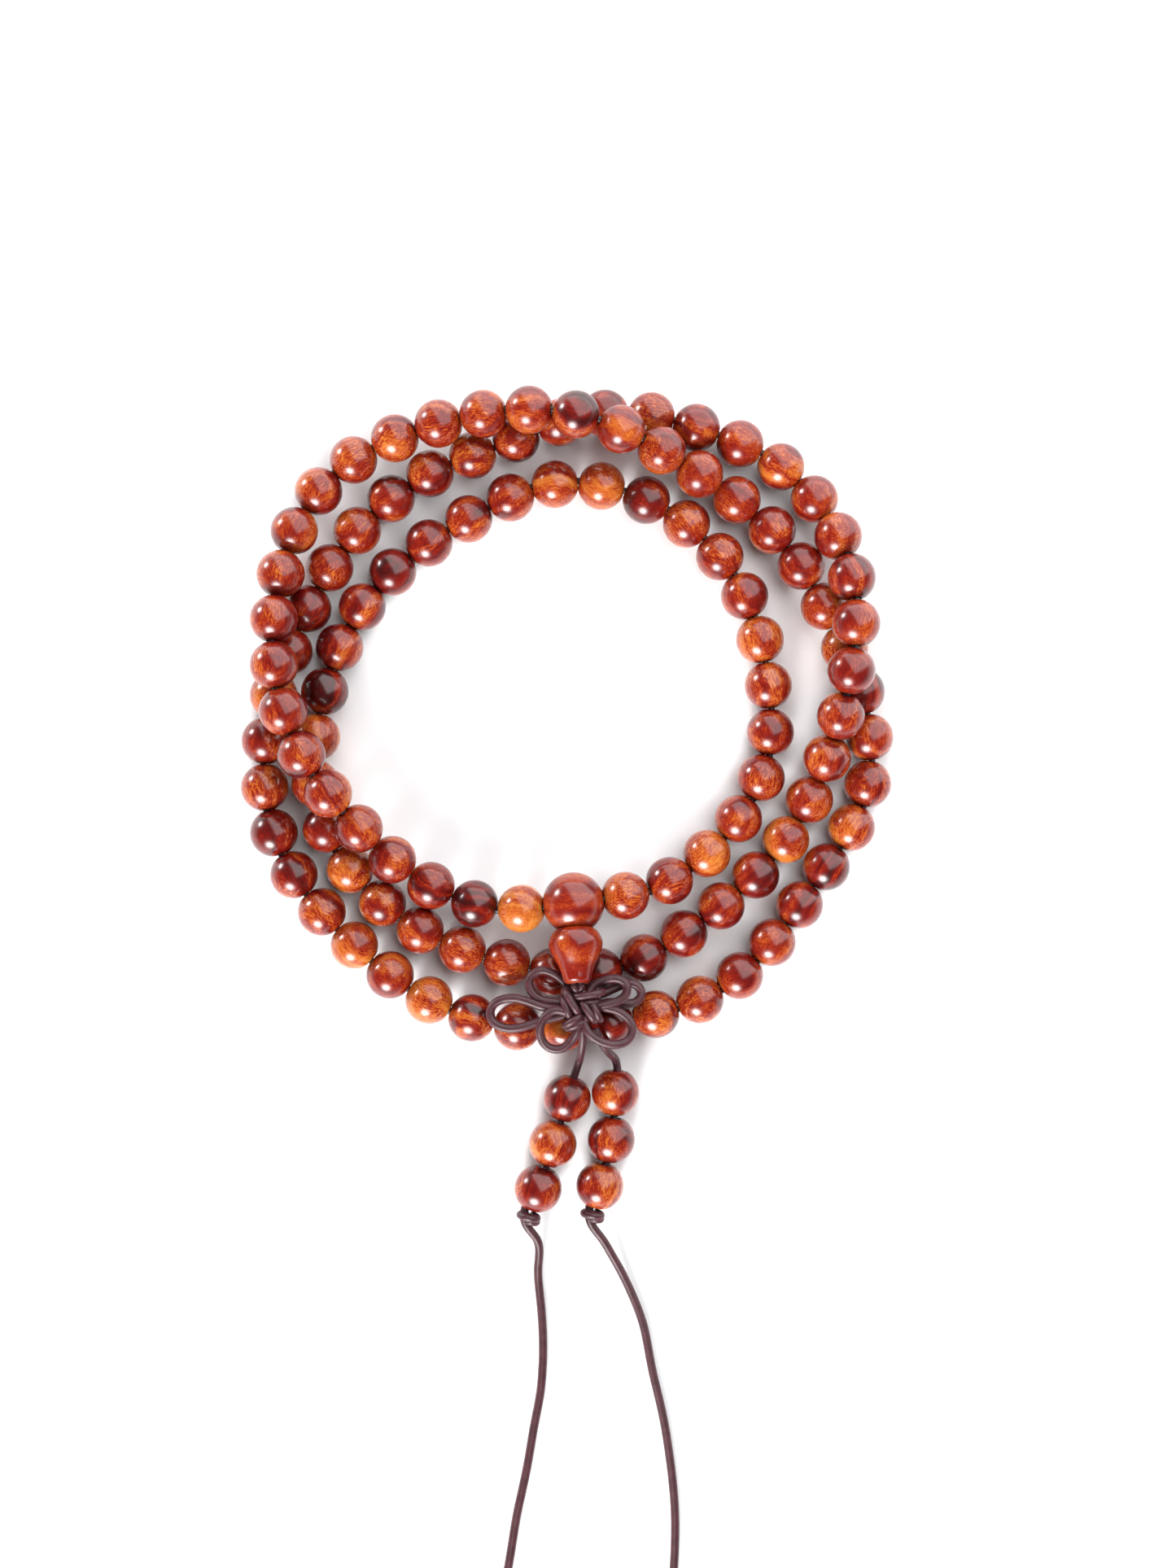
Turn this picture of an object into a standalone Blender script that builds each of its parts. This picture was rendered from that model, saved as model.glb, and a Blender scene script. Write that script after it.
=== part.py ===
"""Mala prayer beads, laid down as a ring of three wraps.

108 turned wooden beads and a guru bead are strung on one endless elastic cord.
A gourd-shaped tower bead, a flower knot and two beaded tails hang from the guru bead.
Metres, +Z up. The ring lies on z = 0, and the tails run towards -Y.
"""

import math

import bmesh
import bpy
import numpy as np
from mathutils import Matrix, Vector

MM = 0.001

# Driving dimensions, in millimetres.
BEADS = 108                 # beads on the loop, besides the guru bead
BEAD_D = 8.0                # loop and tail beads
GURU_D = 10.3               # three-hole guru bead
MOUTH_R = 1.6               # flat face around each bead's hole
BORE_R = 1.0                # hole along a loop bead
TAIL_BORE_R = 1.15          # hole along a tail bead
STEM_BORE_R = 1.35          # third hole of the guru bead, and the tower bead's hole
PITCH = 7.78                # centre to centre along the loop
LOOP_CORD_D = 1.2           # stretched elastic inside the beads
TAIL_CORD_D = 1.5           # covered elastic of the knot and the tails
STEM_CORD_D = 1.8           # the doubled cord between guru bead and knot
TOWER_START, TOWER_END = 4.32, 13.44    # along the stem, from the guru bead's centre
LIFTS = (8.7, 7.0, 5.2)     # least heights of the guru bead and the two beads on each side: the tower over the middle wrap lifts them
STEM_RISE = math.radians(12)            # the stem climbs over the middle wrap
STEM_AIM = (-1.5, -36.9)                # it runs towards this point, seen from above
KNOT_AT = (-0.9, -36.9, 9.5)            # middle of the flower knot
KNOT_HALF = (3.1, 2.9, 2.0)             # half sizes of its woven middle
STOPPER_R, STOPPER_L = 2.2, 2.3         # overhand knot under each tail's beads
ORIGIN = (-3.5, 10.7)                    # middle of the ring's box, in the route's own axes

# The loop's route seen from above: bead number, x, y. Bead 0 is the guru bead.
ROUTE = [
    (0, -2.0, -19.3), (1, -10.9, -21.2), (3, -26.5, -17.5), (5, -38.0, -7.5),
    (8, -50.5, 11.5), (10, -52.0, 27.0), (13, -45.5, 49.5), (16, -25.0, 60.0),
    (19, -1.5, 61.0), (22, 19.0, 51.5), (24, 31.0, 42.5), (27, 43.0, 22.5),
    (30, 46.5, 0.0), (33, 35.5, -20.0), (35, 25.5, -32.0), (38, 3.5, -40.0),
    (41, -19.5, -39.0), (44, -39.0, -27.0), (47, -52.5, -8.0), (50, -52.5, 15.0),
    (52, -47.0, 29.5), (55, -33.0, 47.5), (58, -12.5, 58.0), (60, 3.0, 62.0),
    (62, 18.5, 59.5), (65, 37.5, 48.0), (67, 43.5, 34.0), (70, 42.0, 11.5),
    (73, 33.0, -9.5), (76, 16.0, -25.0), (78, 2.5, -31.5), (80, -13.5, -30.0),
    (83, -34.5, -20.0), (85, -44.0, -7.5), (87, -45.5, 8.0), (90, -37.5, 30.0),
    (93, -19.5, 44.5), (95, -5.5, 49.5), (98, 16.0, 43.5), (100, 26.0, 31.5),
    (102, 30.0, 16.5), (104, 29.0, 1.5), (106, 20.0, -11.5),
    (108, 6.7, -18.7),
]
OVER = ((5, 10), (18, 21), (67, 70))    # beads that cross above an earlier wrap
SINGLES = list(range(1, 7)) + list(range(103, 109))     # beads that are nodes of their own
RUN = 3                                                 # beads in each other node

# Petals of the flower knot: x, y, z along each loop of cord, out of the middle and back.
PETALS = {
    "upper_left": [(-1.8, -35.0, 9.2), (-3.5, -33.3, 8.6), (-5.4, -31.6, 9.1), (-8.0, -30.9, 9.2),
                   (-9.6, -32.1, 9.2), (-9.4, -34.2, 9.3), (-7.6, -35.7, 9.4), (-5.0, -36.1, 9.5), (-2.8, -36.6, 9.6)],
    "left": [(-3.2, -37.0, 9.8), (-6.5, -37.0, 9.9), (-10.0, -35.9, 9.7), (-13.6, -35.5, 9.3), (-15.9, -36.9, 9.1),
             (-16.0, -38.9, 9.1), (-14.3, -40.2, 9.3), (-11.4, -40.3, 9.5), (-8.1, -39.3, 9.4), (-5.4, -38.6, 9.3), (-3.0, -38.0, 9.3)],
    "lower_left": [(-3.0, -37.8, 10.6), (-5.8, -37.4, 10.6), (-7.5, -39.0, 10.5), (-7.8, -41.7, 10.0), (-6.5, -43.5, 9.7),
                   (-4.3, -43.7, 9.7), (-2.5, -42.1, 9.9), (-1.7, -40.6, 10.3), (-1.3, -39.0, 10.2)],
    "lower_right": [(-0.7, -39.0, 10.4), (-0.1, -40.7, 10.7), (1.8, -42.3, 10.7), (4.5, -43.0, 10.3), (6.8, -42.1, 9.8),
                    (7.3, -40.0, 9.6), (6.0, -38.2, 9.6), (4.0, -37.2, 9.7), (1.8, -36.9, 9.7)],
    "upper_right": [(-0.2, -35.1, 9.8), (0.8, -33.4, 9.4), (2.6, -32.5, 9.4), (4.6, -32.2, 9.5), (6.2, -33.0, 9.7),
                    (6.3, -34.6, 9.8), (5.0, -35.8, 9.9), (3.2, -36.4, 10.0), (1.6, -36.7, 10.0)],
    "small": [(2.0, -34.9, 8.5), (4.6, -33.8, 8.1), (6.8, -33.1, 8.0), (8.4, -33.7, 8.0),
              (8.8, -35.0, 8.1), (7.8, -36.2, 8.2), (5.8, -36.3, 8.4), (3.6, -36.2, 8.6), (1.6, -36.6, 9.0)],
}

# Tails: the cord leaves the knot, comes down between the beads of the outer wrap, passes
# three beads and the stopper knot, and runs along the floor to its free end.
TAILS = {
    "left": {
        "lead": [(-0.9, -40.4, 8.75), (-0.85, -41.7, 8.45), (-0.9, -42.9, 7.95), (-1.05, -44.2, 7.0),
                 (-1.3, -45.5, 5.5), (-1.55, -46.6, 4.4)],
        "beads": [(-3.5, -52.7), (-5.9, -60.3), (-8.35, -67.8)],
        "floor": [(-8.6, -76.5, 3.1), (-8.4, -81.5, 1.5), (-8.1, -86.5, 0.85), (-7.7, -91.5, 0.78), (-7.6, -96.5, 0.78),
                  (-8.0, -102.5, 0.78), (-9.1, -108.5, 0.78), (-10.4, -116.0, 0.78), (-12.1, -124.0, 0.78), (-13.5, -132.5, 0.78),
                  (-15.6, -142.0, 0.78), (-18.6, -151.0, 0.78), (-22.5, -159.5, 0.78), (-26.5, -167.0, 0.78)],
    },
    "right": {
        "lead": [(1.2, -40.5, 8.85), (1.65, -41.6, 8.75), (2.2, -42.8, 8.3), (3.0, -44.0, 7.3), (3.85, -45.2, 5.7),
                 (4.6, -46.2, 4.4)],
        "beads": [(4.6, -51.7), (3.9, -59.6), (2.0, -67.3)],
        "floor": [(2.3, -76.3, 3.1), (5.2, -81.5, 1.5), (7.6, -86.6, 0.85), (9.4, -91.6, 0.78), (10.9, -99.2, 0.78),
                  (12.7, -107.0, 0.78), (14.0, -115.3, 0.78), (14.7, -123.5, 0.78), (14.5, -132.5, 0.78),
                  (13.6, -142.0, 0.78), (11.7, -151.5, 0.78), (9.2, -160.5, 0.78), (6.2, -169.0, 0.78)],
    },
}

COUNT = BEADS + 1
BEAD_R, GURU_R = BEAD_D / 2, GURU_D / 2
BEAD_HALF = math.sqrt(BEAD_R**2 - MOUTH_R**2)
GURU_HALF = math.sqrt(GURU_R**2 - MOUTH_R**2)


def unit(v):
    return v / np.linalg.norm(v, axis=1)[:, None]


def plan_of_beads():
    """Every bead's x and y on a closed cubic spline through ROUTE. The guru bead takes a longer step."""
    step = (GURU_HALF - BEAD_HALF) / PITCH
    knots = np.array([row[0] + (step if row[0] else 0) for row in ROUTE])
    points = np.array([row[1:] for row in ROUTE])
    n, period = len(ROUTE), COUNT + 2 * step
    h = np.diff(np.append(knots, knots[0] + period))
    matrix, right = np.zeros((n, n)), np.zeros((n, 2))
    for i in range(n):
        a, b, j = h[i - 1], h[i], (i + 1) % n
        matrix[i, i - 1] += a
        matrix[i, i] += 2 * (a + b)
        matrix[i, j] += b
        right[i] = 6 * ((points[j] - points[i]) / b - (points[i] - points[i - 1]) / a)
    curve = np.linalg.solve(matrix, right)
    plan = []
    for bead in range(COUNT):
        u = bead + (step if bead else 0)
        i = int(np.searchsorted(knots, u, side="right")) - 1
        j, w = (i + 1) % n, h[i]
        t = (u - knots[i]) / w
        plan.append(
            points[i] * (1 - t) + points[j] * t
            + w * w / 6 * (curve[i] * ((1 - t) ** 3 - (1 - t)) + curve[j] * (t**3 - t))
        )
    return np.array(plan)


def string_beads():
    """Centres, bore directions and half lengths of all beads, and the points between them. Neighbours keep their spacing on the cord, no two
    beads overlap, and each strand settles on the floor or in the valleys of the beads below it."""
    plan = plan_of_beads()
    radius, half = np.full(COUNT, BEAD_R), np.full(COUNT, BEAD_HALF)
    radius[0], half[0] = GURU_R, GURU_HALF
    lowest = radius.copy()
    lowest[0], lowest[[1, -1]], lowest[[2, -2]] = LIFTS
    centre = np.column_stack([plan, lowest])
    for first, last in OVER:
        centre[first : last + 1, 2] = 11.0
        centre[[first - 1, last + 1], 2] = 7.5
    index = np.arange(COUNT)
    apart = np.abs(index[:, None] - index)
    apart = np.minimum(apart, COUNT - apart)
    one, two = np.nonzero((apart >= 2) & (index[:, None] < index))
    need = radius[one] + radius[two] + 0.1
    links = (np.arange(0, COUNT - 1, 2), np.arange(1, COUNT - 1, 2), np.array([COUNT - 1]))
    touching = half + np.roll(half, -1)
    rounds = 360
    for turn in range(rounds):
        free = max(0.0, min(1.0, 1.5 - 1.6 * turn / rounds))
        centre[:, :2] += (plan - centre[:, :2]) * 0.5 * free
        centre[:, 2] -= 0.09 * free
        axis = unit(np.roll(centre, -1, 0) - np.roll(centre, 1, 0))
        bend = np.arccos(np.clip((axis * np.roll(axis, -1, 0)).sum(1), -1, 1))
        spacing = touching + np.maximum(PITCH - 2 * BEAD_HALF, 2 * MOUTH_R * np.sin(bend / 2) + 0.12)
        for _ in range(6):
            for i in links:
                j = (i + 1) % COUNT
                edge = centre[j] - centre[i]
                length = np.linalg.norm(edge, axis=1)
                edge *= ((length - spacing[i]) / length / 2)[:, None]
                centre[i] += edge
                centre[j] -= edge
            gap = centre[two] - centre[one]
            length = np.linalg.norm(gap, axis=1)
            hit = length < need
            push = gap[hit] * ((need - length) / length / 2)[hit][:, None]
            np.add.at(centre, one[hit], -push)
            np.add.at(centre, two[hit], push)
            centre[:, 2] = np.maximum(centre[:, 2], lowest)
    # The cord runs straight through each bead, from the gap before it to the gap after it.
    axis = unit(np.roll(centre, -1, 0) - np.roll(centre, 1, 0)) * half[:, None]
    gaps = (centre + axis + np.roll(centre - axis, -1, 0)) / 2
    before = np.roll(gaps, 1, 0)
    centre = (before + gaps) / 2
    centre[:, 2] = np.maximum(centre[:, 2], radius)
    return centre, unit(gaps - before), half, gaps


def smooth(points, spacing):
    """Points about this far apart on a smooth curve through these."""
    points = np.array(points, float)
    padded = np.vstack([2 * points[0] - points[1], points, 2 * points[-1] - points[-2]])
    out = []
    for i in range(len(points) - 1):
        p0, p1, p2, p3 = padded[i : i + 4]
        steps = max(1, round(float(np.linalg.norm(p2 - p1)) / spacing))
        for k in range(steps):
            t = k / steps
            out.append(0.5 * (2 * p1 + (p2 - p0) * t + (2 * p0 - 5 * p1 + 4 * p2 - p3) * t * t + (3 * p1 - p0 - 3 * p2 + p3) * t**3))
    out.append(points[-1])
    return np.array(out)


def world(point):
    """A point of the route, in millimetres, as the object's own metres."""
    return Vector(((point[0] - ORIGIN[0]) * MM, (point[1] - ORIGIN[1]) * MM, point[2] * MM))


def clear_scene():
    for obj in list(bpy.data.objects):
        bpy.data.objects.remove(obj, do_unlink=True)
    for block in (bpy.data.meshes, bpy.data.curves, bpy.data.materials):
        for item in list(block):
            block.remove(item)


def collection(name):
    made = bpy.data.collections.new(name)
    bpy.context.scene.collection.children.link(made)
    return made


def material(name, colour, roughness, coat=0.0):
    made = bpy.data.materials.new(name)
    made.use_nodes = True
    shader = made.node_tree.nodes["Principled BSDF"]
    shader.inputs["Base Color"].default_value = (*colour, 1)
    shader.inputs["Roughness"].default_value = roughness
    shader.inputs["Metallic"].default_value = 0.0
    shader.inputs["Coat Weight"].default_value = coat
    made.diffuse_color = (*colour, 1)
    return made


def wood(name, seed):
    """Rosewood colours, from orange to dark maroon."""
    shade = (seed * 37 % 100) / 100
    light, dark = (0.50, 0.17, 0.055), (0.13, 0.020, 0.012)
    return material(name, tuple(a * (1 - shade) + b * shade for a, b in zip(light, dark)), 0.28, 0.6)


def facing(axis):
    """A rotation whose Z is along axis and whose X points as far down as it can."""
    z = Vector(axis).normalized()
    x = Vector((0, 0, -1)) - z * z.dot(Vector((0, 0, -1)))
    x.normalize()
    return Matrix((x, z.cross(x), z)).transposed().to_4x4()


def turned(name, profile, centre, axis, steps, where, mat):
    """A turned piece: a closed profile of (radius, height), down its outer side and up its bore."""
    mesh = bpy.data.meshes.new(name)
    ends = [(r * MM, 0, z * MM) for r, z in profile]
    mesh.from_pydata(ends, [(i, (i + 1) % len(ends)) for i in range(len(ends))], [])
    obj = bpy.data.objects.new(name, mesh)
    where.objects.link(obj)
    screw = obj.modifiers.new("Turned", "SCREW")
    screw.axis = "Z"
    screw.angle = math.tau
    screw.steps = screw.render_steps = steps
    screw.use_merge_vertices = True
    screw.merge_threshold = 0.000001
    screw.use_smooth_shade = True
    obj.matrix_world = Matrix.Translation(world(centre)) @ facing(axis)
    mesh.materials.append(mat)
    return obj


def ball_profile(radius, bore, half, spans):
    """A ball with a flat face around each end of its hole."""
    start = math.asin(MOUTH_R / radius)
    angles = [start + (math.pi - 2 * start) * k / spans for k in range(spans + 1)]
    outer = [(radius * math.sin(a), radius * math.cos(a)) for a in angles]
    return outer + [(bore, -half), (bore, half)]


def tube(name, points, radius, where, mat=None, resolution=2, radii=None, cyclic=False, tilt=0.0):
    curve = bpy.data.curves.new(name, "CURVE")
    curve.dimensions = "3D"
    curve.twist_mode = "Z_UP"
    curve.bevel_depth = radius * MM
    curve.bevel_resolution = resolution
    curve.use_fill_caps = not cyclic
    spline = curve.splines.new("POLY")
    spline.points.add(len(points) - 1)
    spline.use_cyclic_u = cyclic
    for k, (place, point) in enumerate(zip(spline.points, points)):
        place.co = (*world(point), 1)
        place.radius = 1.0 if radii is None else radii[k] / radius
        place.tilt = tilt
    obj = bpy.data.objects.new(name, curve)
    where.objects.link(obj)
    if mat:
        curve.materials.append(mat)
    return obj


def as_mesh(obj):
    """The curve as a mesh object with its caps welded on."""
    bpy.context.view_layer.update()
    graph = bpy.context.evaluated_depsgraph_get()
    mesh = bpy.data.meshes.new_from_object(obj.evaluated_get(graph))
    shape = bmesh.new()
    shape.from_mesh(mesh)
    bmesh.ops.remove_doubles(shape, verts=shape.verts, dist=0.0000005)
    bmesh.ops.recalc_face_normals(shape, faces=shape.faces)
    shape.to_mesh(mesh)
    shape.free()
    name, place, mats = obj.name, obj.matrix_world.copy(), list(obj.data.materials)
    where = obj.users_collection[0]
    bpy.data.objects.remove(obj, do_unlink=True)
    made = bpy.data.objects.new(name, mesh)
    made.name = name
    where.objects.link(made)
    made.matrix_world = place
    mesh.materials.clear()
    for mat in mats:
        mesh.materials.append(mat)
    return made


def helper(obj):
    obj.hide_render = True
    obj.display_type = "WIRE"
    return obj


def boolean(obj, other, operation):
    step = obj.modifiers.new(operation.title() + "_" + other.name, "BOOLEAN")
    step.operation = operation
    step.solver = "EXACT"
    step.use_self = operation == "UNION"
    step.object = other


def main():
    clear_scene()
    parts = collection("mala_prayer_beads")
    cutters = collection("cutters")
    centre, axis, half, gaps = string_beads()       # gaps[i] lies between bead i and bead i + 1

    # The loop's elastic, straight through every bead.
    tube("loop_cord", gaps, LOOP_CORD_D / 2, parts, material("loop_cord", (0.05, 0.018, 0.022), 0.7),
         resolution=1, cyclic=True)

    # Single beads beside the guru bead.
    profile = ball_profile(BEAD_R, BORE_R, BEAD_HALF, 4)
    for i in SINGLES:
        name = f"bead_{i:03d}"
        turned(name, profile, centre[i], axis[i], 8, parts, wood(name, i))

    # Every other bead, in runs of three that touch at the flat faces around their holes.
    stations = [(-BEAD_HALF, MOUTH_R), (-0.64 * BEAD_R, 0.768 * BEAD_R), (0, BEAD_R), (0.64 * BEAD_R, 0.768 * BEAD_R), (BEAD_HALF, MOUTH_R)]
    for first in range(SINGLES[5] + 1, SINGLES[6], RUN):
        last = first + RUN - 1
        name = f"beads_{first:03d}_to_{last:03d}"
        path, radii = [], []
        for i in range(first, last + 1):
            for along, r in stations:
                path.append(centre[i] + axis[i] * along)
                radii.append(r)
        run = as_mesh(tube(name, path, 1.0, parts, wood(name, first), radii=radii))
        bore = [gaps[first - 1] - axis[first] * 0.4] + [gaps[i] for i in range(first, last)] + [gaps[last] + axis[last] * 0.4]
        cutter = helper(as_mesh(tube("bore_" + name, bore, BORE_R, cutters, resolution=1)))
        boolean(run, cutter, "DIFFERENCE")

    # Guru bead: the loop's hole is turned, the stem's hole is drilled into it from the side.
    guru, across = centre[0], axis[0]
    to_knot = np.array(STEM_AIM) - guru[:2]
    to_knot /= np.linalg.norm(to_knot)
    stem = np.array([to_knot[0] * math.cos(STEM_RISE), to_knot[1] * math.cos(STEM_RISE), math.sin(STEM_RISE)])
    bead = turned("guru_bead", ball_profile(GURU_R, BORE_R, GURU_HALF, 10), guru, across, 16, parts, wood("guru_bead", 40))
    drill = helper(as_mesh(tube("stem_hole", [guru + stem * 0.2, guru + stem * 6.0], STEM_BORE_R, cutters, resolution=4)))
    boolean(bead, drill, "DIFFERENCE")
    mouth = guru + stem * TOWER_END
    tube("stem_cord", [guru + stem * 1.0, guru + stem * 4.0, guru + stem * 9.0, mouth + stem * 0.1], STEM_CORD_D / 2, parts,
         material("stem_cord", (0.05, 0.018, 0.022), 0.7))

    # Tower bead: a gourd shape whose dished top sits on the guru bead.
    outside = [(3.15, TOWER_START), (3.72, 4.82), (4.15, 5.5), (4.42, 6.2), (4.5, 6.95), (4.28, 7.9), (3.62, 9.3), (3.06, 10.37),
               (2.6, 11.6), (2.36, 12.6), (2.1, 13.1), (1.6, TOWER_END)]
    dish = math.sqrt(TOWER_START**2 + 3.15**2)
    inside = [(STEM_BORE_R, TOWER_END), (STEM_BORE_R, math.sqrt(dish**2 - STEM_BORE_R**2)), (2.2, math.sqrt(dish**2 - 2.2**2))]
    # The profile's height runs against the stem, so that its outer side goes from top to bottom.
    turned("tower_bead", [(r, -t) for r, t in outside + inside], guru, -stem, 16, parts, wood("tower_bead", 43))

    # Flower knot: a woven middle with six loops of the same cord.
    cord = material("flower_knot", (0.075, 0.026, 0.032), 0.7)
    mesh = bpy.data.meshes.new("flower_knot")
    shape = bmesh.new()
    bmesh.ops.create_uvsphere(shape, u_segments=12, v_segments=7, radius=1.0)
    bmesh.ops.scale(shape, vec=Vector(KNOT_HALF) * MM, verts=shape.verts)
    shape.to_mesh(mesh)
    shape.free()
    mesh.materials.append(cord)
    knot = bpy.data.objects.new("flower_knot", mesh)
    parts.objects.link(knot)
    knot.location = world(KNOT_AT)
    root = [mouth + stem * 0.28, mouth + stem * 0.8, np.array([-1.3, -34.4, 10.3]), np.array([-1.0, -35.8, 9.8])]
    for name, petal in {**PETALS, "root": root}.items():
        loop = helper(as_mesh(tube("petal_" + name, smooth(petal, 2.4), TAIL_CORD_D / 2, cutters, resolution=1)))
        boolean(knot, loop, "UNION")

    # Tails.
    tail_profile = ball_profile(BEAD_R, TAIL_BORE_R, BEAD_HALF, 4)
    for side, tail in TAILS.items():
        beads = [np.array([x, y, BEAD_R]) for x, y in tail["beads"]]
        up = [unit(np.array([a - b]))[0] for a, b in zip(beads, beads[1:])]
        ways = [up[0], unit(np.array([up[0] + up[1]]))[0], up[1]]
        upper = [b + w * (BEAD_HALF + 0.2) for b, w in zip(beads, ways)]
        lower = [b - w * (BEAD_HALF + 0.2) for b, w in zip(beads, ways)]
        straight = [upper[0], (lower[0] + upper[1]) / 2, (lower[1] + upper[2]) / 2]
        under = beads[2] - ways[2] * (BEAD_HALF + 0.25 + STOPPER_L + 0.2)
        route = list(smooth(tail["lead"] + [tuple(upper[0])], 1.6)) + straight[1:] + list(smooth([tuple(under)] + tail["floor"], 4.0))
        tube("tail_cord_" + side, route, TAIL_CORD_D / 2, parts, material("tail_cord_" + side, (0.075, 0.026, 0.032), 0.7))
        for k in range(3):
            name = f"tail_bead_{side}_{k + 1}"
            turned(name, tail_profile, beads[k], ways[k], 8, parts, wood(name, 11 * k + (5 if side == "left" else 60)))
        h = STOPPER_L / 2
        lump = [(1.5, h), (2.05, 0.6 * h), (STOPPER_R, 0), (2.05, -0.6 * h), (1.5, -h), (1.1, -h), (1.1, h)]
        turned("stopper_knot_" + side, lump, beads[2] - ways[2] * (BEAD_HALF + 0.3 + h), ways[2], 10, parts,
               material("stopper_knot_" + side, (0.075, 0.026, 0.032), 0.7))

    for obj in parts.objects:
        if obj.type == "MESH":
            obj.data.shade_smooth()
            if not obj.modifiers or obj.modifiers[0].type != "SCREW":
                obj.data.set_sharp_from_angle(angle=math.radians(35))


main()
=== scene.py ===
"""The looks of the mala prayer beads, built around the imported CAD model.

Every loop bead, tail bead, cord, knot and petal is a piece of its own that replaces its CAD solid and rides on its body.
The route of the string is worked out here as part.py works it out, so that each piece lies where its solid is.
"""

import math

import bmesh
import bpy
import numpy as np
from mathutils import Matrix, Vector

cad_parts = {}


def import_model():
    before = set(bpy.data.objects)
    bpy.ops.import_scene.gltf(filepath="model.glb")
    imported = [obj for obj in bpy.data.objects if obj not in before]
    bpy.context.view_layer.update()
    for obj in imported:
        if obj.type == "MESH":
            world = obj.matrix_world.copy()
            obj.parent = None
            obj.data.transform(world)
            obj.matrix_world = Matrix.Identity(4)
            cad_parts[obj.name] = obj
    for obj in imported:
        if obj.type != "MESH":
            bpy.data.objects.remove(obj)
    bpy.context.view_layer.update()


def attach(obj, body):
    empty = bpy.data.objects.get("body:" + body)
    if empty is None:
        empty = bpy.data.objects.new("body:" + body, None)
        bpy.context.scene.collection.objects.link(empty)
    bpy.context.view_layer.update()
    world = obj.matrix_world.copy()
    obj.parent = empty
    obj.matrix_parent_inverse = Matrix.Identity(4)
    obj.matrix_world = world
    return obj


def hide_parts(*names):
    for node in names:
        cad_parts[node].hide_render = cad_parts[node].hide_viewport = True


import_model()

# ---------------------------------------------------------------- the route, as in part.py
MM = 0.001

# Driving dimensions, in millimetres.
BEADS = 108                 # beads on the loop, besides the guru bead
BEAD_D = 8.0                # loop and tail beads
GURU_D = 10.3               # three-hole guru bead
MOUTH_R = 1.6               # flat face around each bead's hole
BORE_R = 1.0                # hole along a loop bead
TAIL_BORE_R = 1.15          # hole along a tail bead
STEM_BORE_R = 1.35          # third hole of the guru bead, and the tower bead's hole
PITCH = 7.78                # centre to centre along the loop
LOOP_CORD_D = 1.2           # stretched elastic inside the beads
TAIL_CORD_D = 1.5           # covered elastic of the knot and the tails
STEM_CORD_D = 1.8           # the doubled cord between guru bead and knot
TOWER_START, TOWER_END = 4.32, 13.44    # along the stem, from the guru bead's centre
LIFTS = (8.7, 7.0, 5.2)     # least heights of the guru bead and the two beads on each side: the tower over the middle wrap lifts them
STEM_RISE = math.radians(12)            # the stem climbs over the middle wrap
STEM_AIM = (-1.5, -36.9)                # it runs towards this point, seen from above
KNOT_AT = (-0.9, -36.9, 9.5)            # middle of the flower knot
KNOT_HALF = (3.1, 2.9, 2.0)             # half sizes of its woven middle
STOPPER_R, STOPPER_L = 2.2, 2.3         # overhand knot under each tail's beads
ORIGIN = (-3.5, 10.7)                    # middle of the ring's box, in the route's own axes

# The loop's route seen from above: bead number, x, y. Bead 0 is the guru bead.
ROUTE = [
    (0, -2.0, -19.3), (1, -10.9, -21.2), (3, -26.5, -17.5), (5, -38.0, -7.5),
    (8, -50.5, 11.5), (10, -52.0, 27.0), (13, -45.5, 49.5), (16, -25.0, 60.0),
    (19, -1.5, 61.0), (22, 19.0, 51.5), (24, 31.0, 42.5), (27, 43.0, 22.5),
    (30, 46.5, 0.0), (33, 35.5, -20.0), (35, 25.5, -32.0), (38, 3.5, -40.0),
    (41, -19.5, -39.0), (44, -39.0, -27.0), (47, -52.5, -8.0), (50, -52.5, 15.0),
    (52, -47.0, 29.5), (55, -33.0, 47.5), (58, -12.5, 58.0), (60, 3.0, 62.0),
    (62, 18.5, 59.5), (65, 37.5, 48.0), (67, 43.5, 34.0), (70, 42.0, 11.5),
    (73, 33.0, -9.5), (76, 16.0, -25.0), (78, 2.5, -31.5), (80, -13.5, -30.0),
    (83, -34.5, -20.0), (85, -44.0, -7.5), (87, -45.5, 8.0), (90, -37.5, 30.0),
    (93, -19.5, 44.5), (95, -5.5, 49.5), (98, 16.0, 43.5), (100, 26.0, 31.5),
    (102, 30.0, 16.5), (104, 29.0, 1.5), (106, 20.0, -11.5),
    (108, 6.7, -18.7),
]
OVER = ((5, 10), (18, 21), (67, 70))    # beads that cross above an earlier wrap
SINGLES = list(range(1, 7)) + list(range(103, 109))     # beads that are nodes of their own
RUN = 3                                                 # beads in each other node

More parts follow.
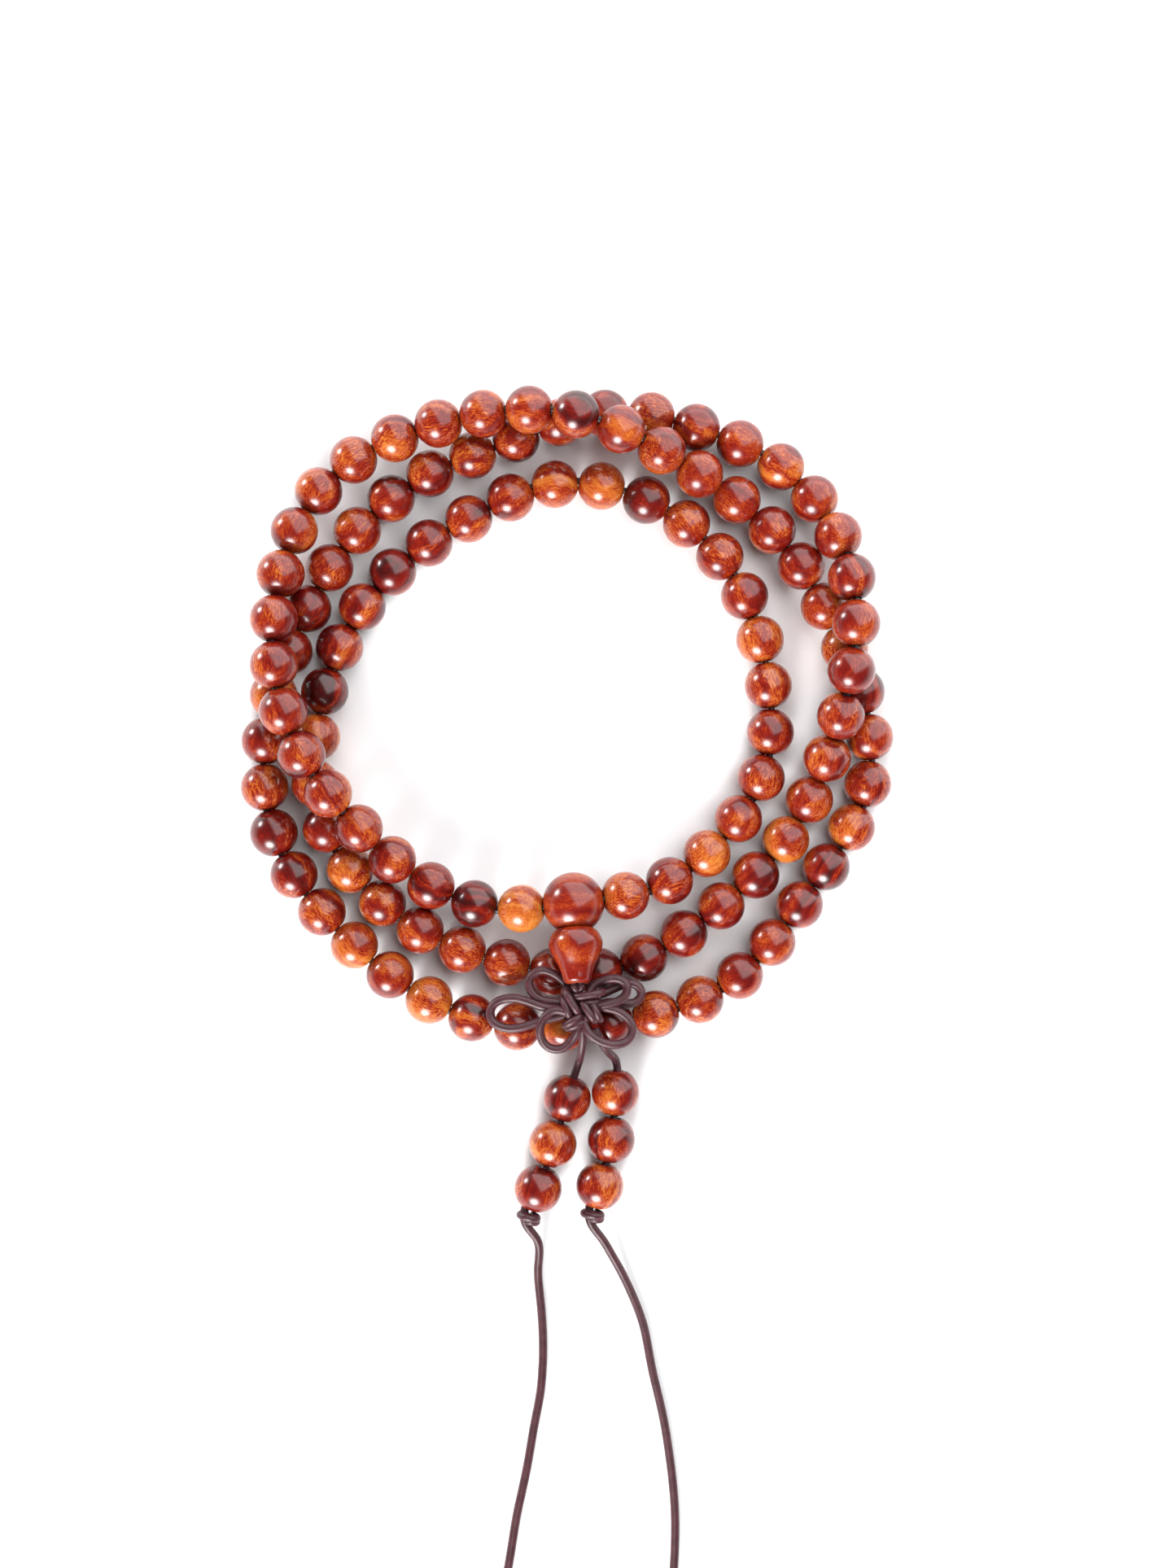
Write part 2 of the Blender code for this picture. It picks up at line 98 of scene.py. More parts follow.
# Petals of the flower knot: x, y, z along each loop of cord, out of the middle and back.
PETALS = {
    "upper_left": [(-1.8, -35.0, 9.2), (-3.5, -33.3, 8.6), (-5.4, -31.6, 9.1), (-8.0, -30.9, 9.2),
                   (-9.6, -32.1, 9.2), (-9.4, -34.2, 9.3), (-7.6, -35.7, 9.4), (-5.0, -36.1, 9.5), (-2.8, -36.6, 9.6)],
    "left": [(-3.2, -37.0, 9.8), (-6.5, -37.0, 9.9), (-10.0, -35.9, 9.7), (-13.6, -35.5, 9.3), (-15.9, -36.9, 9.1),
             (-16.0, -38.9, 9.1), (-14.3, -40.2, 9.3), (-11.4, -40.3, 9.5), (-8.1, -39.3, 9.4), (-5.4, -38.6, 9.3), (-3.0, -38.0, 9.3)],
    "lower_left": [(-3.0, -37.8, 10.6), (-5.8, -37.4, 10.6), (-7.5, -39.0, 10.5), (-7.8, -41.7, 10.0), (-6.5, -43.5, 9.7),
                   (-4.3, -43.7, 9.7), (-2.5, -42.1, 9.9), (-1.7, -40.6, 10.3), (-1.3, -39.0, 10.2)],
    "lower_right": [(-0.7, -39.0, 10.4), (-0.1, -40.7, 10.7), (1.8, -42.3, 10.7), (4.5, -43.0, 10.3), (6.8, -42.1, 9.8),
                    (7.3, -40.0, 9.6), (6.0, -38.2, 9.6), (4.0, -37.2, 9.7), (1.8, -36.9, 9.7)],
    "upper_right": [(-0.2, -35.1, 9.8), (0.8, -33.4, 9.4), (2.6, -32.5, 9.4), (4.6, -32.2, 9.5), (6.2, -33.0, 9.7),
                    (6.3, -34.6, 9.8), (5.0, -35.8, 9.9), (3.2, -36.4, 10.0), (1.6, -36.7, 10.0)],
    "small": [(2.0, -34.9, 8.5), (4.6, -33.8, 8.1), (6.8, -33.1, 8.0), (8.4, -33.7, 8.0),
              (8.8, -35.0, 8.1), (7.8, -36.2, 8.2), (5.8, -36.3, 8.4), (3.6, -36.2, 8.6), (1.6, -36.6, 9.0)],
}

# Tails: the cord leaves the knot, comes down between the beads of the outer wrap, passes
# three beads and the stopper knot, and runs along the floor to its free end.
TAILS = {
    "left": {
        "lead": [(-0.9, -40.4, 8.75), (-0.85, -41.7, 8.45), (-0.9, -42.9, 7.95), (-1.05, -44.2, 7.0),
                 (-1.3, -45.5, 5.5), (-1.55, -46.6, 4.4)],
        "beads": [(-3.5, -52.7), (-5.9, -60.3), (-8.35, -67.8)],
        "floor": [(-8.6, -76.5, 3.1), (-8.4, -81.5, 1.5), (-8.1, -86.5, 0.85), (-7.7, -91.5, 0.78), (-7.6, -96.5, 0.78),
                  (-8.0, -102.5, 0.78), (-9.1, -108.5, 0.78), (-10.4, -116.0, 0.78), (-12.1, -124.0, 0.78), (-13.5, -132.5, 0.78),
                  (-15.6, -142.0, 0.78), (-18.6, -151.0, 0.78), (-22.5, -159.5, 0.78), (-26.5, -167.0, 0.78)],
    },
    "right": {
        "lead": [(1.2, -40.5, 8.85), (1.65, -41.6, 8.75), (2.2, -42.8, 8.3), (3.0, -44.0, 7.3), (3.85, -45.2, 5.7),
                 (4.6, -46.2, 4.4)],
        "beads": [(4.6, -51.7), (3.9, -59.6), (2.0, -67.3)],
        "floor": [(2.3, -76.3, 3.1), (5.2, -81.5, 1.5), (7.6, -86.6, 0.85), (9.4, -91.6, 0.78), (10.9, -99.2, 0.78),
                  (12.7, -107.0, 0.78), (14.0, -115.3, 0.78), (14.7, -123.5, 0.78), (14.5, -132.5, 0.78),
                  (13.6, -142.0, 0.78), (11.7, -151.5, 0.78), (9.2, -160.5, 0.78), (6.2, -169.0, 0.78)],
    },
}

COUNT = BEADS + 1
BEAD_R, GURU_R = BEAD_D / 2, GURU_D / 2
BEAD_HALF = math.sqrt(BEAD_R**2 - MOUTH_R**2)
GURU_HALF = math.sqrt(GURU_R**2 - MOUTH_R**2)


def unit(v):
    return v / np.linalg.norm(v, axis=1)[:, None]


def plan_of_beads():
    """Every bead's x and y on a closed cubic spline through ROUTE. The guru bead takes a longer step."""
    step = (GURU_HALF - BEAD_HALF) / PITCH
    knots = np.array([row[0] + (step if row[0] else 0) for row in ROUTE])
    points = np.array([row[1:] for row in ROUTE])
    n, period = len(ROUTE), COUNT + 2 * step
    h = np.diff(np.append(knots, knots[0] + period))
    matrix, right = np.zeros((n, n)), np.zeros((n, 2))
    for i in range(n):
        a, b, j = h[i - 1], h[i], (i + 1) % n
        matrix[i, i - 1] += a
        matrix[i, i] += 2 * (a + b)
        matrix[i, j] += b
        right[i] = 6 * ((points[j] - points[i]) / b - (points[i] - points[i - 1]) / a)
    curve = np.linalg.solve(matrix, right)
    plan = []
    for bead in range(COUNT):
        u = bead + (step if bead else 0)
        i = int(np.searchsorted(knots, u, side="right")) - 1
        j, w = (i + 1) % n, h[i]
        t = (u - knots[i]) / w
        plan.append(
            points[i] * (1 - t) + points[j] * t
            + w * w / 6 * (curve[i] * ((1 - t) ** 3 - (1 - t)) + curve[j] * (t**3 - t))
        )
    return np.array(plan)


def string_beads():
    """Centres, bore directions and half lengths of all beads, and the points between them. Neighbours keep their spacing on the cord, no two
    beads overlap, and each strand settles on the floor or in the valleys of the beads below it."""
    plan = plan_of_beads()
    radius, half = np.full(COUNT, BEAD_R), np.full(COUNT, BEAD_HALF)
    radius[0], half[0] = GURU_R, GURU_HALF
    lowest = radius.copy()
    lowest[0], lowest[[1, -1]], lowest[[2, -2]] = LIFTS
    centre = np.column_stack([plan, lowest])
    for first, last in OVER:
        centre[first : last + 1, 2] = 11.0
        centre[[first - 1, last + 1], 2] = 7.5
    index = np.arange(COUNT)
    apart = np.abs(index[:, None] - index)
    apart = np.minimum(apart, COUNT - apart)
    one, two = np.nonzero((apart >= 2) & (index[:, None] < index))
    need = radius[one] + radius[two] + 0.1
    links = (np.arange(0, COUNT - 1, 2), np.arange(1, COUNT - 1, 2), np.array([COUNT - 1]))
    touching = half + np.roll(half, -1)
    rounds = 360
    for turn in range(rounds):
        free = max(0.0, min(1.0, 1.5 - 1.6 * turn / rounds))
        centre[:, :2] += (plan - centre[:, :2]) * 0.5 * free
        centre[:, 2] -= 0.09 * free
        axis = unit(np.roll(centre, -1, 0) - np.roll(centre, 1, 0))
        bend = np.arccos(np.clip((axis * np.roll(axis, -1, 0)).sum(1), -1, 1))
        spacing = touching + np.maximum(PITCH - 2 * BEAD_HALF, 2 * MOUTH_R * np.sin(bend / 2) + 0.12)
        for _ in range(6):
            for i in links:
                j = (i + 1) % COUNT
                edge = centre[j] - centre[i]
                length = np.linalg.norm(edge, axis=1)
                edge *= ((length - spacing[i]) / length / 2)[:, None]
                centre[i] += edge
                centre[j] -= edge
            gap = centre[two] - centre[one]
            length = np.linalg.norm(gap, axis=1)
            hit = length < need
            push = gap[hit] * ((need - length) / length / 2)[hit][:, None]
            np.add.at(centre, one[hit], -push)
            np.add.at(centre, two[hit], push)
            centre[:, 2] = np.maximum(centre[:, 2], lowest)
    # The cord runs straight through each bead, from the gap before it to the gap after it.
    axis = unit(np.roll(centre, -1, 0) - np.roll(centre, 1, 0)) * half[:, None]
    gaps = (centre + axis + np.roll(centre - axis, -1, 0)) / 2
    before = np.roll(gaps, 1, 0)
    centre = (before + gaps) / 2
    centre[:, 2] = np.maximum(centre[:, 2], radius)
    return centre, unit(gaps - before), half, gaps


def smooth(points, spacing):
    """Points about this far apart on a smooth curve through these."""
    points = np.array(points, float)
    padded = np.vstack([2 * points[0] - points[1], points, 2 * points[-1] - points[-2]])
    out = []
    for i in range(len(points) - 1):
        p0, p1, p2, p3 = padded[i : i + 4]
        steps = max(1, round(float(np.linalg.norm(p2 - p1)) / spacing))
        for k in range(steps):
            t = k / steps
            out.append(0.5 * (2 * p1 + (p2 - p0) * t + (2 * p0 - 5 * p1 + 4 * p2 - p3) * t * t + (3 * p1 - p0 - 3 * p2 + p3) * t**3))
    out.append(points[-1])
    return np.array(out)




def world(point):
    """A point of the route, in millimetres, as the frame's metres."""
    return Vector(((point[0] - ORIGIN[0]) * MM, (point[1] - ORIGIN[1]) * MM, point[2] * MM))


# ---------------------------------------------------------------- materials
class Nodes:
    """A material's node tree, with short ways to add and link nodes."""

    def __init__(self, name):
        self.mat = bpy.data.materials.new(name)
        self.mat.use_nodes = True
        self.tree = self.mat.node_tree
        self.shader = self.tree.nodes["Principled BSDF"]

    def add(self, kind, **settings):
        node = self.tree.nodes.new(kind)
        for key, value in settings.items():
            setattr(node, key, value)
        return node

    def link(self, source, target):
        self.tree.links.new(source, target)

    def fill(self, node, socket, value):
        """A number or a colour goes on the socket, and anything else is linked to it."""
        if isinstance(value, bpy.types.NodeSocket):
            self.link(value, node.inputs[socket])
        else:
            node.inputs[socket].default_value = value

    def maths(self, operation, a, b=0.0, c=0.0, clamp=False):
        node = self.add("ShaderNodeMath", operation=operation, use_clamp=clamp)
        for k, value in enumerate((a, b, c)):
            self.fill(node, k, value)
        return node.outputs[0]

    def vector(self, operation, a, b):
        node = self.add("ShaderNodeVectorMath", operation=operation)
        self.fill(node, 0, a)
        self.fill(node, 1, b)
        return node.outputs[0]

    def mapping(self, source, scale=(1, 1, 1), rotation=(0, 0, 0), location=(0, 0, 0)):
        node = self.add("ShaderNodeMapping")
        self.link(source, node.inputs["Vector"])
        node.inputs["Scale"].default_value = scale
        node.inputs["Rotation"].default_value = rotation
        node.inputs["Location"].default_value = location
        return node.outputs[0]

    def noise(self, source, scale=1.0, detail=2.0, roughness=0.5, distortion=0.0, out="Fac"):
        node = self.add("ShaderNodeTexNoise")
        self.link(source, node.inputs["Vector"])
        node.inputs["Scale"].default_value = scale
        node.inputs["Detail"].default_value = detail
        node.inputs["Roughness"].default_value = roughness
        node.inputs["Distortion"].default_value = distortion
        return node.outputs[out]

    def span(self, value, low, high, to_low=0.0, to_high=1.0, smooth=True):
        node = self.add("ShaderNodeMapRange")
        node.interpolation_type = "SMOOTHSTEP" if smooth else "LINEAR"
        self.link(value, node.inputs["Value"])
        for socket, number in (("From Min", low), ("From Max", high), ("To Min", to_low), ("To Max", to_high)):
            node.inputs[socket].default_value = number
        return node.outputs[0]

    def ramp(self, value, stops):
        node = self.add("ShaderNodeValToRGB")
        self.link(value, node.inputs["Fac"])
        ends = node.color_ramp.elements
        while len(ends) < len(stops):
            ends.new(0.5)
        for end, (place, colour) in zip(ends, stops):
            end.position = place
            end.color = (*colour, 1)
        return node.outputs["Color"]

    def bump(self, height, distance, strength=1.0):
        node = self.add("ShaderNodeBump")
        self.link(height, node.inputs["Height"])
        node.inputs["Distance"].default_value = distance
        node.inputs["Strength"].default_value = strength
        self.link(node.outputs["Normal"], self.shader.inputs["Normal"])


DEPTH = 0.605                # how far the lacquer darkens the wood
ROSEWOOD = tuple((place, tuple(DEPTH * part for part in colour)) for place, colour in (
    (0.00, (0.040, 0.0026, 0.0022)), (0.16, (0.100, 0.0036, 0.0026)), (0.32, (0.215, 0.0065, 0.0032)),
    (0.47, (0.330, 0.0200, 0.0048)), (0.60, (0.430, 0.0470, 0.0080)), (0.74, (0.560, 0.1000, 0.0150)),
    (0.87, (0.700, 0.1850, 0.0270)), (1.00, (0.860, 0.3000, 0.0560)),
))


def rosewood(name, seed, tone, figure=1.0, gold=0.5, coarse=1.0):
    """Lacquered rosewood with its grain along Z: growth bands, dark heartwood, and short pores that flash gold."""
    n = Nodes(name)
    rng = np.random.RandomState(seed)
    place = n.add("ShaderNodeTexCoord").outputs["Object"]
    shift = tuple(rng.uniform(-200, 200, 3))
    lean = (rng.uniform(-0.10, 0.10), rng.uniform(-0.10, 0.10), rng.uniform(0, math.tau))
    grain = n.mapping(place, (1000, 1000, 1000), lean, shift)
    # The grain wanders a little, so that bands and pores are never straight.
    wander = n.vector("SUBTRACT", n.noise(grain, 0.20, 2, out="Color"), (0.5, 0.5, 0.5))
    grain = n.vector("ADD", grain, n.vector("MULTIPLY", wander, (2.6, 2.6, 1.0)))
    band = n.noise(n.mapping(grain, (0.62, 0.07, 0.035)), 1.0, 3, 0.55)
    patch = n.noise(n.mapping(grain, (0.21, 0.21, 0.10)), 1.0, 2, 0.5)
    pores = n.noise(n.mapping(grain, (4.0 / coarse, 4.0 / coarse, 1.00 / coarse)), 1.0, 2.5, 0.6, 0.35)
    fibre = n.noise(n.mapping(grain, (9.0, 9.0, 0.9)), 1.0, 2, 0.6)
    # Dark heartwood carries few pores, and golden sapwood many.
    light = n.maths("ADD", n.span(band, 0.34, 0.66, -0.17 * figure, 0.17 * figure), n.span(patch, 0.32, 0.68, -0.13 * figure, 0.13 * figure))
    light = n.maths("ADD", light, tone)
    richly = n.span(light, 0.24, 0.62, 0.22, 1.0)
    richly = n.maths("MULTIPLY", richly, n.span(light, 0.58, 0.86, 1.0, 0.40))
    flash = n.maths("MULTIPLY", n.span(pores, 0.32, 0.68, -0.23 * gold * 2, 0.23 * gold * 2), richly)
    light = n.maths("ADD", light, flash)
    light = n.maths("ADD", light, n.span(fibre, 0.3, 0.7, -0.05, 0.05, smooth=False))
    pits = n.span(pores, 0.20, 0.33, 1.0, 0.0)
    light = n.maths("SUBTRACT", light, n.maths("MULTIPLY", pits, 0.10), clamp=True)
    n.link(n.ramp(light, ROSEWOOD), n.shader.inputs["Base Color"])
    rough = n.span(pores, 0.3, 0.7, 0.40, 0.30)
    n.link(rough, n.shader.inputs["Roughness"])
    n.bump(pores, 0.00004, 0.35)
    n.shader.inputs["IOR"].default_value = 1.5
    n.shader.inputs["Specular IOR Level"].default_value = 0.08
    n.shader.inputs["Coat Weight"].default_value = 1.0
    n.shader.inputs["Coat Roughness"].default_value = 0.20
    n.shader.inputs["Coat IOR"].default_value = 1.47
    return n.mat


def thread(name, dark=1.0, seed=1):
    """Thread-covered elastic: matt plum-brown thread with a soft sheen. Each turn is painted lighter on its crest and
    darker in the grooves: painted light and painted shade on the ribs.
    """
    n = Nodes(name)
    place = n.add("ShaderNodeTexCoord").outputs["Object"]
    grain = n.mapping(place, (1000, 1000, 1000), (0, 0, 0), (seed * 7.0, seed * 3.0, 0))
    fluff = n.noise(grain, 9.0, 3, 0.7)
    patch = n.noise(grain, 0.6, 2, 0.5)
    # Painted light and painted shade: this value makes the rib crests lighter and the grooves darker
    painted_crest_light = n.add("ShaderNodeAttribute", attribute_name="painted_crest_light").outputs["Fac"]
    light = n.maths("ADD", n.maths("MULTIPLY", painted_crest_light, 0.55), n.span(fluff, 0.25, 0.75, -0.18, 0.22, smooth=False))
    light = n.maths("ADD", light, n.span(patch, 0.3, 0.7, 0.0, 0.14), clamp=True)
    colour = n.ramp(light, (
        (0.00, (0.010 * dark, 0.0016 * dark, 0.0026 * dark)), (0.35, (0.040 * dark, 0.0075 * dark, 0.0110 * dark)),
        (0.70, (0.112 * dark, 0.0340 * dark, 0.0430 * dark)), (1.00, (0.250 * dark, 0.1120 * dark, 0.1300 * dark)),
    ))
    n.link(colour, n.shader.inputs["Base Color"])
    n.shader.inputs["Roughness"].default_value = 0.38
    n.shader.inputs["Specular IOR Level"].default_value = 0.45
    n.shader.inputs["Sheen Weight"].default_value = 0.10
    n.shader.inputs["Sheen Roughness"].default_value = 0.40
    n.shader.inputs["Sheen Tint"].default_value = (1.0, 0.50, 0.60, 1)
    n.bump(fluff, 0.00003, 0.5)
    return n.mat


# ---------------------------------------------------------------- shapes
def new_object(name, mesh, mat):
    obj = bpy.data.objects.new(name, mesh)
    bpy.context.scene.collection.objects.link(obj)
    mesh.materials.append(mat)
    mesh.shade_smooth()
    return obj


def facing(axis, spin=0.0):
    """A rotation whose Z is along axis and whose X points as far down as it can, then turned about Z."""
    z = Vector(axis).normalized()
    x = Vector((0, 0, -1)) - z * z.dot(Vector((0, 0, -1)))
    x.normalize()
    return Matrix((x, z.cross(x), z)).transposed().to_4x4() @ Matrix.Rotation(spin, 4, "Z")


def lathe(name, profile, steps, mat):
    """A closed profile of (radius, height) in millimetres, down its outer side and up its bore, turned about Z."""
    shape = bmesh.new()
    rings = []
    for r, z in profile:
        rings.append([shape.verts.new((r * MM * math.cos(math.tau * k / steps), r * MM * math.sin(math.tau * k / steps), z * MM)) for k in range(steps)])
    for upper, lower in zip(rings, rings[1:] + rings[:1]):
        for k in range(steps):
            j = (k + 1) % steps
            shape.faces.new((upper[k], lower[k], lower[j], upper[j]))
    bmesh.ops.recalc_face_normals(shape, faces=shape.faces)
    mesh = bpy.data.meshes.new(name)
    shape.to_mesh(mesh)
    shape.free()
    return new_object(name, mesh, mat)


def eased(points, each):
    """A profile with extra points on a smooth curve through these."""
    flat = smooth_by_count([(r, z, 0.0) for r, z in points], each)
    return [(p[0], p[1]) for p in flat]


def smooth_by_count(points, each):
    points = np.array(points, float)
    padded = np.vstack([2 * points[0] - points[1], points, 2 * points[-1] - points[-2]])
    out = []
    for i in range(len(points) - 1):
        p0, p1, p2, p3 = padded[i : i + 4]
        for k in range(each):
            t = k / each
            out.append(0.5 * (2 * p1 + (p2 - p0) * t + (2 * p0 - 5 * p1 + 4 * p2 - p3) * t * t + (3 * p1 - p0 - 3 * p2 + p3) * t**3))
    out.append(points[-1])
    return out


def bead_profile(radius, bore, spans, mouth=MOUTH_R, squash=1.0):
    """A ball with a small flat around each end of its hole and softly broken edges. It runs from the top mouth down to the lower one."""
    half = math.sqrt(radius**2 - mouth**2)
    start = math.asin(mouth / radius)
    outer = []
    for k in range(spans + 1):
        a = start + (math.pi - 2 * start) * k / spans
        outer.append((radius * math.sin(a), radius * math.cos(a) * squash))
    h = half * squash
    rim = [(bore, h - 0.30), (bore + 0.03, h - 0.14), (bore + 0.10, h - 0.05), (bore + 0.20, h - 0.015), (mouth - 0.22, h - 0.004), (mouth - 0.08, h - 0.012)]
    low = [(r, -z) for r, z in reversed(rim)]
    outer[0] = (mouth + 0.05, outer[0][1] - 0.04)
    outer[-1] = (mouth + 0.05, outer[-1][1] + 0.04)
    return rim + outer + low


def transported(points):
    """Tangents, and a normal carried along the curve without twisting."""
    points = np.array(points, float)
    tangent = np.gradient(points, axis=0)
    tangent /= np.linalg.norm(tangent, axis=1)[:, None]
    normal = np.zeros_like(points)
    guess = np.cross(tangent[0], (0.0, 0.0, 1.0))
    if np.linalg.norm(guess) < 1e-6:
        guess = np.array((1.0, 0.0, 0.0))
    normal[0] = guess / np.linalg.norm(guess)
    for i in range(1, len(points)):
        n = normal[i - 1] - tangent[i] * np.dot(normal[i - 1], tangent[i])
        normal[i] = n / np.linalg.norm(n)
    return points, tangent, normal


def spline_points(points, step):
    """Points this far apart on a natural cubic spline through these."""
    points = np.array(points, float)
    knots = np.concatenate([[0], np.cumsum(np.linalg.norm(np.diff(points, axis=0), axis=1))])
    n = len(points)
    h = np.diff(knots)
    matrix, right = np.zeros((n, n)), np.zeros((n, points.shape[1]))
    matrix[0, 0] = matrix[-1, -1] = 1
    for i in range(1, n - 1):
        matrix[i, i - 1 : i + 2] = h[i - 1], 2 * (h[i - 1] + h[i]), h[i]
        right[i] = 6 * ((points[i + 1] - points[i]) / h[i] - (points[i] - points[i - 1]) / h[i - 1])
    bend = np.linalg.solve(matrix, right)
    count = max(2, int(round(knots[-1] / step)) + 1)
    at = np.linspace(0, knots[-1], count)
    i = np.clip(np.searchsorted(knots, at, side="right") - 1, 0, n - 2)
    w = h[i][:, None]
    t = ((at - knots[i])[:, None]) / w
    return points[i] * (1 - t) + points[i + 1] * t + w * w / 6 * (bend[i] * ((1 - t) ** 3 - (1 - t)) + bend[i + 1] * (t**3 - t))


def covered_cord(name, points, radius, mat, pitch=0.27, depth=0.058, around=14, starts=3, radii=None, cyclic=False, steps=4, sink=None):
    """A cord covered with thread: turns of thread stand out as slanting ribs. points are in millimetres of the route."""
    dense = spline_points(points, pitch / steps)
    if cyclic:
        dense = dense[:-1]
    line, tangent, normal = transported(dense)
    side = np.cross(tangent, normal)
    along = np.concatenate([[0], np.cumsum(np.linalg.norm(np.diff(line, axis=0), axis=1))])
    share = along / along[-1]
    size = np.full(len(line), radius) if radii is None else np.interp(share, np.linspace(0, 1, len(radii)), radii)
    angle = np.linspace(0, math.tau, around, endpoint=False)
    wave = 0.5 + 0.5 * np.cos(math.tau * along[:, None] / pitch + starts * angle[None, :])
    r = size[:, None] - depth * (1 - wave**0.7)
    ring = line[:, None, :] + r[..., None] * (np.cos(angle)[None, :, None] * normal[:, None, :] + np.sin(angle)[None, :, None] * side[:, None, :])
    coordinates = (ring.reshape(-1, 3) - np.array((ORIGIN[0], ORIGIN[1], 0.0))) * MM
    count = len(line)
    # Painted light and painted shade for the material: 1 on each rib crest, 0 in the grooves, 0.3 on the end caps
    painted_crest_light = wave.reshape(-1)
    faces = []
    last = count if cyclic else count - 1
    for i in range(last):
        a, b = i * around, ((i + 1) % count) * around
        for k in range(around):
            j = (k + 1) % around
            faces.append((a + k, a + j, b + j, b + k))
    vertices = [tuple(p) for p in coordinates]
    if not cyclic:
        for first, centre, flip in ((0, line[0], False), ((count - 1) * around, line[-1], True)):
            vertices.append(tuple((centre - np.array((ORIGIN[0], ORIGIN[1], 0.0))) * MM))
            painted_crest_light = np.append(painted_crest_light, 0.3)
            hub = len(vertices) - 1
            for k in range(around):
                j = (k + 1) % around
                faces.append((hub, first + k, first + j) if flip else (hub, first + j, first + k))
    mesh = bpy.data.meshes.new(name)
    mesh.from_pydata(vertices, [], faces)
    shape = bmesh.new()
    shape.from_mesh(mesh)
    bmesh.ops.recalc_face_normals(shape, faces=shape.faces)
    shape.to_mesh(mesh)
    shape.free()
    mesh.attributes.new("painted_crest_light", "FLOAT", "POINT").data.foreach_set("value", painted_crest_light.astype(np.float32))
    return new_object(name, mesh, mat)


# ---------------------------------------------------------------- camera, floor and light
HEIGHT = 0.400              # the camera looks straight down from here
camera_data = bpy.data.cameras.new("camera")
camera_data.sensor_fit = "VERTICAL"
camera_data.sensor_height = 36.0
camera_data.lens = 54.24
camera_data.clip_start = 0.01
camera = bpy.data.objects.new("camera", camera_data)
bpy.context.scene.collection.objects.link(camera)
camera.location = (-ORIGIN[0] * MM, -ORIGIN[1] * MM, HEIGHT)
bpy.context.scene.camera = camera

floor_shape = bmesh.new()
bmesh.ops.create_grid(floor_shape, x_segments=8, y_segments=8, size=3.0)
floor_mesh = bpy.data.meshes.new("floor")
floor_shape.to_mesh(floor_mesh)
floor_shape.free()
pale = Nodes("pale_floor")
speck = pale.noise(pale.mapping(pale.add("ShaderNodeTexCoord").outputs["Object"], (30, 30, 30)), 1.0, 3, 0.6)
pale.link(pale.ramp(speck, ((0.3, (0.900, 0.900, 0.905)), (0.7, (0.915, 0.915, 0.918)))), pale.shader.inputs["Base Color"])
pale.shader.inputs["Roughness"].default_value = 0.75
pale.shader.inputs["Specular IOR Level"].default_value = 0.25
floor = new_object("floor", floor_mesh, pale.mat)
floor.location.z = -0.00004


def panel(name, azimuth, elevation, distance, width, height, radiance, tint=(1, 1, 1)):
    """A soft box that faces the middle of the ring, seen only in reflections. Azimuth runs from +X towards +Y. A disc has no height."""
    data = bpy.data.lights.new(name, "AREA")
    data.shape = "RECTANGLE" if height else "DISK"
    data.size = width
    if height:
        data.size_y = height
    data.energy = radiance * math.pi * width * (height or width * math.pi / 4)
    data.color = tint
    lamp = bpy.data.objects.new(name, data)
    bpy.context.scene.collection.objects.link(lamp)
    a, e = math.radians(azimuth), math.radians(elevation)
    way = Vector((math.cos(a) * math.cos(e), math.sin(a) * math.cos(e), math.sin(e)))
    lamp.location = way * distance
    lamp.rotation_euler = way.to_track_quat("Z", "Y").to_euler()
    lamp.visible_camera = False
    return lamp


# A bright wall from azimuth 18 to 118 degrees that leans over the beads to a corner near the zenith. Its lower half is under the floor.
left, right, tip = Vector((-0.89, 1.68, 0.0)), Vector((1.81, 0.59, 0.0)), Vector((0.155, -0.155, 0.60))
wall = panel("wall", 0, 0, 1.0, (right - tip).length, (left - tip).length, 3.3, (0.98, 0.99, 1.0))
wall_x, wall_y = (right - tip).normalized(), (left - tip).normalized()
wall.matrix_world = Matrix.Translation((left + right) / 2) @ Matrix((wall_x, wall_y, wall_x.cross(wall_y))).transposed().to_4x4()
for k, (width, radiance) in enumerate(((0.60, 16.0), (0.85, 9.5), (1.10, 4.4), (1.40, 1.6))):     # a soft box that fades towards its edge
    panel(f"key_{k}", -107, 27, 1.5 + 0.03 * k, width, 0, radiance)
for k, (width, radiance) in enumerate(((0.30, 30.0), (0.52, 13.0))):
    panel(f"small_{k}", 148, 11, 1.5 + 0.03 * k, width, 0, radiance)

sky = bpy.data.worlds.new("studio")
sky.use_nodes = True
bpy.context.scene.world = sky
tree = sky.node_tree
ground = tree.nodes["Background"]
way = tree.nodes.new("ShaderNodeTexCoord")
split = tree.nodes.new("ShaderNodeSeparateXYZ")
tree.links.new(way.outputs["Generated"], split.inputs[0])
level = tree.nodes.new("ShaderNodeMapRange")
level.interpolation_type = "SMOOTHSTEP"
tree.links.new(split.outputs["Z"], level.inputs["Value"])
for socket, number in (("From Min", 0.02), ("From Max", 0.26), ("To Min", 1.25), ("To Max", 0.09)):
    level.inputs[socket].default_value = number
tree.links.new(level.outputs[0], ground.inputs["Strength"])
ground.inputs["Color"].default_value = (1.0, 1.0, 1.0, 1)
bpy.context.scene.view_settings.view_transform = "Standard"

# ---------------------------------------------------------------- beads
centre, axis, half, gaps = string_beads()
DARK = (2, 28, 32, 38, 47, 52, 55, 58, 77, 78, 88, 91, 107)         # beads of dark heartwood
PALE = (27, 31, 42, 44, 50, 73, 84, 87, 95, 96, 101)            # beads with much golden sapwood


def tone_of(i, rng):
    if i == 1:
        return 0.82
    if i == BEADS:
        return 0.44
    if i in DARK:
        return rng.uniform(0.24, 0.34)
    if i in PALE:
        return rng.uniform(0.60, 0.68)
    return rng.uniform(0.40, 0.58)


